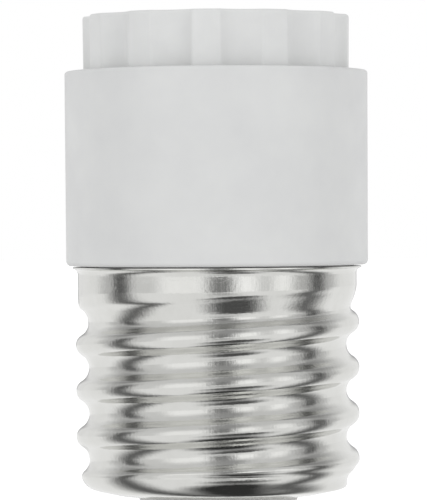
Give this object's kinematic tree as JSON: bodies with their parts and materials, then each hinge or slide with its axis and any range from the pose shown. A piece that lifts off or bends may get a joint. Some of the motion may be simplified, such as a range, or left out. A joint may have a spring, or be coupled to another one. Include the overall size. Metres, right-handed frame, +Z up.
{
  "type": "lamp socket adapter",
  "caption": "Screw-in lamp socket adapter: plated plug shell with a round thread, plain white sleeve, and a fluted white neck around a smaller threaded lamp socket.",
  "frame": {"origin": "middle of the plug's centre contact, on its lower face", "axes": "+Z up along the screw axis, from the plug to the socket's mouth; -Y towards the front of the pictured view"},
  "size_m": [0.042, 0.042, 0.0721],
  "materials": {
    "sleeve_plastic": "satin moulded white",
    "core_plastic": "satin moulded white",
    "plug_plate": "bright nickel plate on rolled sheet",
    "insulator_plastic": "satin moulded white",
    "contact_metal": "pressed, lightly worn",
    "solder": "dull solder",
    "lamp_plate": "nickel plate on rolled brass",
    "rivet_metal": "plated",
    "leaf_metal": "springy rolled strip",
    "tag_metal": "tinned",
    "live_insulation": "satin",
    "neutral_insulation": "satin"
  },
  "bodies": {
    "adapter": {"outer_sleeve": "sleeve_plastic", "fluted_core": "core_plastic", "base_shell": "plug_plate", "base_insulator": "insulator_plastic", "base_contact": "contact_metal", "contact_solder": "solder", "lamp_shell": "lamp_plate", "shell_rivets": "rivet_metal", "leaf_rivet": "rivet_metal", "live_tag": "tag_metal", "neutral_tag": "tag_metal", "live_lead": "live_insulation", "neutral_lead": "neutral_insulation"},
    "spring_contact": {"contact_leaf": "leaf_metal"}
  },
  "joints": [
    {"name": "contact_press", "type": "hinge", "parent": "adapter", "child": "spring_contact", "pos_m": [-0.00493, 0, 0.0417], "axis": [0, 1, 0], "range_deg": [0, 15], "stiffness_Nm_per_rad": 0.05, "deforming": ["contact_leaf"]}
  ]
}
